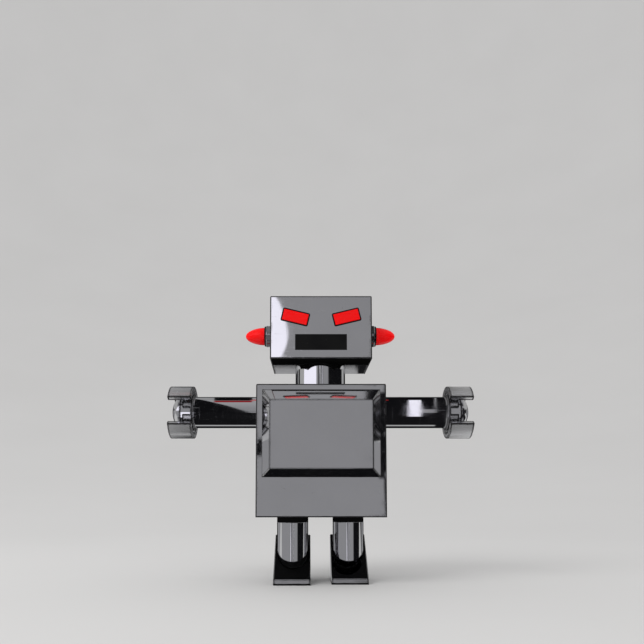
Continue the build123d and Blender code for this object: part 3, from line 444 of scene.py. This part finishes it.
def bulb_collars(material):
    """Black grommets between the ear caps and the red bulbs."""
    # radius, and how far beyond the ear cap's end
    section = (
        (6.56, -0.5), (7.2, -0.45), (7.45, -0.1), (7.45, 0.35),
        (7.25, 0.7), (6.9, 0.8), (6.6, 0.7), (6.5, 0.4),
    )
    for side, sign in SIDES:
        low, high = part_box(f"{side}_ear_base")
        end = (high.x if sign > 0 else -low.x) / MM
        centre = (low + high) / 2 / MM
        rings = [circle_about(X_AXIS, radius, sign * (end + beyond), centre) for radius, beyond in section]
        skin(f"{side}_bulb_collar", rings, "head", material)


def key_ferrule(material):
    """Pressed eyelet that lines the key's hole in the back cover."""
    # radius, and how far beyond the seat
    section = (
        (2.6, -0.7), (2.6, 0.3), (2.75, 0.55), (3.1, 0.7), (3.6, 0.62),
        (4.6, 0.35), (5.4, 0.22), (5.6, 0.0), (3.35, -0.02), (3.35, -0.7),
    )
    seat_depth = 0.5  # how far the eyelet's seat lies inside the cover's box
    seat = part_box("torso_back_cover")[1].y / MM - seat_depth
    low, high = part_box("winding_arbor")
    centre = (low + high) / 2 / MM
    rings = [circle_about(Y_AXIS, radius, seat + beyond, centre) for radius, beyond in section]
    skin("key_ferrule", rings, "torso", material)


def lock_seam(name, body, axis, start, end, radius, centre, material):
    """The folded lock seam along the back of a rolled tube: a low bead with a crease at each side."""
    # how far round the tube, and how proud of it
    section = (
        (-1.5, -0.15), (-1.5, 0.10), (-1.2, 0.26), (-0.6, 0.34),
        (0.6, 0.34), (1.2, 0.26), (1.5, 0.10), (1.5, -0.15),
    )
    flat_tip = 0.05  # how proud the seam is at its ends
    back = math.radians({X_AXIS: 0, Z_AXIS: 90}[axis])  # the angle about the axis that points to +Y
    places = [start, start + 0.25, start + 1.0]
    places += [start + (end - start) * i / 8 for i in range(1, 8)]
    places += [end - 1.0, end - 0.25, end]
    rings = []
    for index, along in enumerate(sorted(places)):
        tip = index in (0, len(places) - 1)
        ring = []
        for across, proud in section:
            lift = min(proud, flat_tip) if tip else proud
            ring.append(around(axis, along, centre, radius + lift, back + across / radius))
        rings.append(ring)
    skin(name, rings, body, material, wrap=False)


def in_mm(corners):
    return [corner / MM for corner in corners]


def lock_seams(material):
    for side, sign in SIDES:
        low, high = in_mm(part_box(f"{side}_arm_tube"))
        claw_low, claw_high = in_mm(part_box(f"{side}_claw"))
        centre, radius = (low + high) / 2, (high.z - low.z) / 2
        ends = (low.x + 0.6, claw_low.x - 0.8) if sign > 0 else (claw_high.x + 0.8, high.x - 0.6)
        lock_seam(f"{side}_arm_seam", f"{side}_arm", X_AXIS, *ends, radius, centre, material)
        low, high = in_mm(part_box(f"{side}_leg_tube"))
        foot_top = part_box(f"{side}_foot_shell")[1].z / MM
        centre, radius = (low + high) / 2, (high.x - low.x) / 2
        ends = (foot_top + 0.4, high.z - 0.5)
        lock_seam(f"{side}_leg_seam", f"{side}_leg", Z_AXIS, *ends, radius, centre, material)
    low, high = in_mm(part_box("neck_tube"))
    centre, radius = (low + high) / 2, (high.x - low.x) / 2
    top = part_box("torso_shell")[1].z / MM
    lock_seam("neck_seam", "torso", Z_AXIS, top + 0.1, high.z - 0.2, radius, centre, material)


def small_pieces():
    rubber = black_enamel("black_rubber")
    eye_bezels(rubber)
    bulb_collars(rubber)
    key_ferrule(machined("ferrule_brass", BRASS, 0.2, (700, 700, 700), BRASS_TARNISH))
    lock_seams(tin("bright_tin_seam", rough=0.05, edge=0.0003))


# ---------------------------------------------------------------- stage, light and camera
def studio_floor():
    """A pale floor that curves gently up into a backdrop all the way round."""
    flat, bend, top = 0.45, 3.4, 6.0  # the flat part's radius, the bend's radius, the backdrop's height
    bend_steps, count = 40, 96
    gap = 0.00005  # the floor lies this far below Z = 0, clear of the soles
    profile = [(flat, 0.0)]
    for i in range(1, bend_steps + 1):
        angle = math.radians(-90 + 90 * i / bend_steps)
        profile.append((flat + bend * math.cos(angle), bend + bend * math.sin(angle)))
    profile.append((flat + bend, top))
    bm = bmesh.new()
    rings = []
    for radius, height in profile:
        ring = []
        for i in range(count):
            angle = 2 * math.pi * i / count
            ring.append(bm.verts.new((radius * math.cos(angle), radius * math.sin(angle), height - gap)))
        rings.append(ring)
    bm.faces.new(rings[0])
    for inner, outer in zip(rings, rings[1:]):
        for i in range(count):
            j = (i + 1) % count
            bm.faces.new((inner[i], outer[i], outer[j], inner[j]))
    for face in bm.faces:
        face.smooth = True
    mesh = bpy.data.meshes.new("studio_floor")
    bm.to_mesh(mesh)
    bm.free()
    material, n, shader, position = new_material("pale_paper")
    clouds = n.spread(n.noise(position, 3, detail=3))
    n.put(shader.inputs["Base Color"], n.mix(clouds, (0.605, 0.60, 0.59), (0.62, 0.615, 0.605)))
    shader.inputs["Roughness"].default_value = 0.95
    shader.inputs["Specular IOR Level"].default_value = 0.1
    mesh.materials.append(material)
    floor = put_in_scene("studio_floor", mesh)
    # the metal mirrors the world's soft boxes in place of the floor, and the world lights it from below too
    floor.visible_glossy = False
    floor.visible_diffuse = False
    floor.visible_shadow = False


def studio_world():
    """Even light for the floor, and a room of soft boxes and dark cloths for the metal to mirror.

    A direction is given as turn, its compass bearing from -Y towards +X, and rise, its height above the
    horizon, or as x, its X component, and roll, its angle about the X axis. Angles are in degrees.
    """
    world = bpy.data.worlds.new("studio")
    bpy.context.scene.world = world
    world.use_nodes = True
    n = Nodes(world.node_tree)
    x, y, z = n.split(n.add("ShaderNodeTexCoord").outputs["Generated"])
    front = n.math("MULTIPLY", y, -1.0)
    degrees = 180 / math.pi
    turn = n.math("MULTIPLY", n.math("ARCTAN2", x, front), degrees)
    rise = n.math("MULTIPLY", n.math("ARCSINE", z), degrees)
    roll = n.math("MULTIPLY", n.math("ARCTAN2", z, front), degrees)
    wide, aside = n.math("ABSOLUTE", x), n.math("ABSOLUTE", turn)
    steep, over = n.math("ABSOLUTE", rise), n.math("ABSOLUTE", roll)
    black, deep, white = (0.006, 0.006, 0.007), (0.008, 0.008, 0.009), (1.22, 1.2, 1.32)

    def patch(first, low, high, soft, second, second_low, second_high, second_soft):
        """A patch of directions between two limits in each of two measures."""
        return n.all(n.span(first, low, high, soft), n.span(second, second_low, second_high, second_soft))

    def ellipse(turn_at, rise_at, half_turn, half_rise, soft):
        a = n.math("DIVIDE", n.math("SUBTRACT", turn, turn_at), half_turn)
        b = n.math("DIVIDE", n.math("SUBTRACT", rise, rise_at), half_rise)
        reach = n.math("SQRT", n.math("ADD", n.math("MULTIPLY", a, a), n.math("MULTIPLY", b, b)))
        return n.step(reach, 1 + soft, 1 - soft)

    sky = n.mix(n.step(steep, 12, 80), (0.315, 0.315, 0.325), (0.42, 0.42, 0.43))
    sky = n.mix(n.step(aside, 112, 128), sky, (0.36, 0.36, 0.365))
    # cloths at both sides: the right one for the neck and the legs, the left one for the neck
    heights = n.any(n.span(rise, 7.9, 24, 0.5), n.span(rise, -12, -1.2, 0.5))
    right = n.all(n.span(turn, 36, 116, 4), heights)
    left = patch(turn, -118, -88, 3, rise, 7.9, 24, 0.5)
    # cloths that the arms mirror; the left one has a slanting edge
    slope = n.math("MULTIPLY_ADD", n.math("SUBTRACT", wide, 0.085), 1600.0, -5.0)
    left_arm = n.all(n.span(x, -0.166, -0.074, 0.001), n.step(n.math("SUBTRACT", slope, roll), -1, 1))
    places = n.any(n.span(x, 0.108, 0.155, 0.001), n.span(x, 0.180, 0.197, 0.001))
    right_arm = n.all(places, n.step(roll, -13, -11))
    # cloths that the right ear's cap and the torso's margins mirror
    ear_top = patch(x, 0.082, 0.178, 0.001, roll, 17.5, 141, 1)
    ear_front = patch(x, 0.096, 0.108, 0.0004, roll, 9.8, 18, 0.3)
    right_margin = patch(x, 0.1005, 0.135, 0.0004, rise, 1.0, 8.1, 0.1)
    left_margin = patch(x, -0.085, -0.0655, 0.0004, rise, 2.85, 4.3, 0.05)
    cloths = n.any(right, left, left_arm, right_arm, ear_top, ear_front, right_margin, left_margin)
    sky = n.mix(cloths, sky, black)
    # dark strips far round the back, which line the outer edges of every tube
    arm_rims = patch(wide, 0.07, 0.25, 0.001, over, 138, 172, 2)
    upright_rims = patch(aside, 138, 166, 2, rise, -9, 12, 0.5)
    sky = n.mix(n.any(arm_rims, upright_rims), sky, black)
    # soft boxes: a tall one at the left, and a round one that the head mirrors
    tall = patch(turn, -88, -19, 2, rise, 7.9, 41, 0.5)
    corner = n.all(ellipse(-5.35, 13.0, 3.6, 3.9, 0.02), n.step(x, -0.067, -0.065))
    sky = n.mix(n.any(tall, corner), sky, white)
    # below the horizon: a dark line all round, and dark under the arms and under the chest panel
    narrow = n.step(wide, 0.194, 0.190)
    ahead = n.all(narrow, n.step(aside, 100, 96), n.span(rise, -9.5, -7.7, 0.04))
    beside = n.all(n.span(aside, 98, 150, 2), n.span(rise, -13, -4.8, 1.6), narrow)
    behind = n.all(n.step(aside, 148, 152), n.span(rise, -13, -10.2, 0.1))
    arms_low = patch(wide, 0.066, 0.196, 0.002, roll, -170, -7.5, 0.3)
    chest_low = n.all(n.step(wide, 0.12, 0.11), n.span(roll, -135, -50, 2))
    sky = n.mix(n.any(ahead, beside, behind, arms_low, chest_low), sky, deep)
    # soft boxes beyond the hands
    hands = n.all(n.step(wide, 0.194, 0.198), n.span(over, 48, 165, 4))
    sky = n.mix(hands, sky, n.mix(n.step(roll, 10, -10), (0.46, 0.46, 0.45), (0.64, 0.64, 0.63)))
    # a cloth for the right palm's cap, at heights that the neck and the legs don't see
    free_heights = n.any(n.span(rise, -1.2, 7.9, 0.5), n.step(rise, -11.5, -12.5))
    cap = n.all(n.step(x, 0.25, 0.27), n.step(turn, 112, 108), free_heights)
    # dark bands that the neck mirrors at its sides
    bearings = n.any(n.span(turn, 60, 117, 2), n.span(turn, -135, -125, 1), n.span(turn, -120, -110, 1))
    nape = n.all(bearings, n.span(rise, 7.9, 12, 0.5))
    sky = n.mix(n.any(cap, nape), sky, black)
    # strips that the right arm and the left palm mirror, and a grey one along the arms' undersides
    band = patch(x, 0.142, 0.159, 0.001, roll, -35, 100, 2)
    palm = patch(x, -0.23, -0.166, 0.001, roll, -50, -3, 2)
    sky = n.mix(n.any(band, palm), sky, white)
    underside = patch(wide, 0.07, 0.178, 0.001, roll, -126, -110, 1)
    sky = n.mix(underside, sky, (0.5, 0.5, 0.5))
    # a red line and a black one along the top of the left arm
    along = n.span(x, -0.134, -0.080, 0.001)
    sky = n.mix(n.all(along, n.span(roll, 76, 92, 2)), sky, (0.30, 0.012, 0.016))
    sky = n.mix(n.all(along, n.span(roll, 94, 141, 1)), sky, black)

    mirrored = n.add("ShaderNodeBackground")
    n.put(mirrored.inputs["Color"], sky)
    even = n.add("ShaderNodeBackground")
    even.inputs["Color"].default_value = (0.88, 0.88, 0.89, 1)
    paths = n.add("ShaderNodeLightPath")
    both = n.add("ShaderNodeMixShader")
    n.put(both.inputs[0], paths.outputs["Is Glossy Ray"])
    n.put(both.inputs[1], even.outputs[0])
    n.put(both.inputs[2], mirrored.outputs[0])
    n.put(n.add("ShaderNodeOutputWorld").inputs["Surface"], both.outputs[0])


def soft_light(name, place, size, watts):
    """A round lamp that points at the robot's middle and that the metal doesn't mirror."""
    middle = Vector((0, 0, 0.1))
    light = bpy.data.lights.new(name, "AREA")
    light.shape = "DISK"
    light.size = size
    light.energy = watts
    lamp = put_in_scene(name, light)
    lamp.location = place
    lamp.rotation_euler = (middle - Vector(place)).to_track_quat("-Z", "Y").to_euler()
    lamp.visible_glossy = False


def camera():
    data = bpy.data.cameras.new("camera")
    data.sensor_width = SENSOR
    data.lens = LENS
    data.shift_x, data.shift_y = SHIFT
    data.clip_start, data.clip_end = 0.01, 20
    cam = put_in_scene("camera", data)
    cam.location = CAMERA_PLACE
    cam.rotation_euler = (math.radians(90 + CAMERA_PITCH), 0, 0)
    bpy.context.scene.camera = cam


paint_frame()
small_pieces()
studio_floor()
studio_world()
soft_light("key", place=(-0.9, -0.8, 1.2), size=0.9, watts=9)
camera()
bpy.context.scene.view_settings.view_transform = "Standard"
bpy.context.scene.view_settings.look = "None"
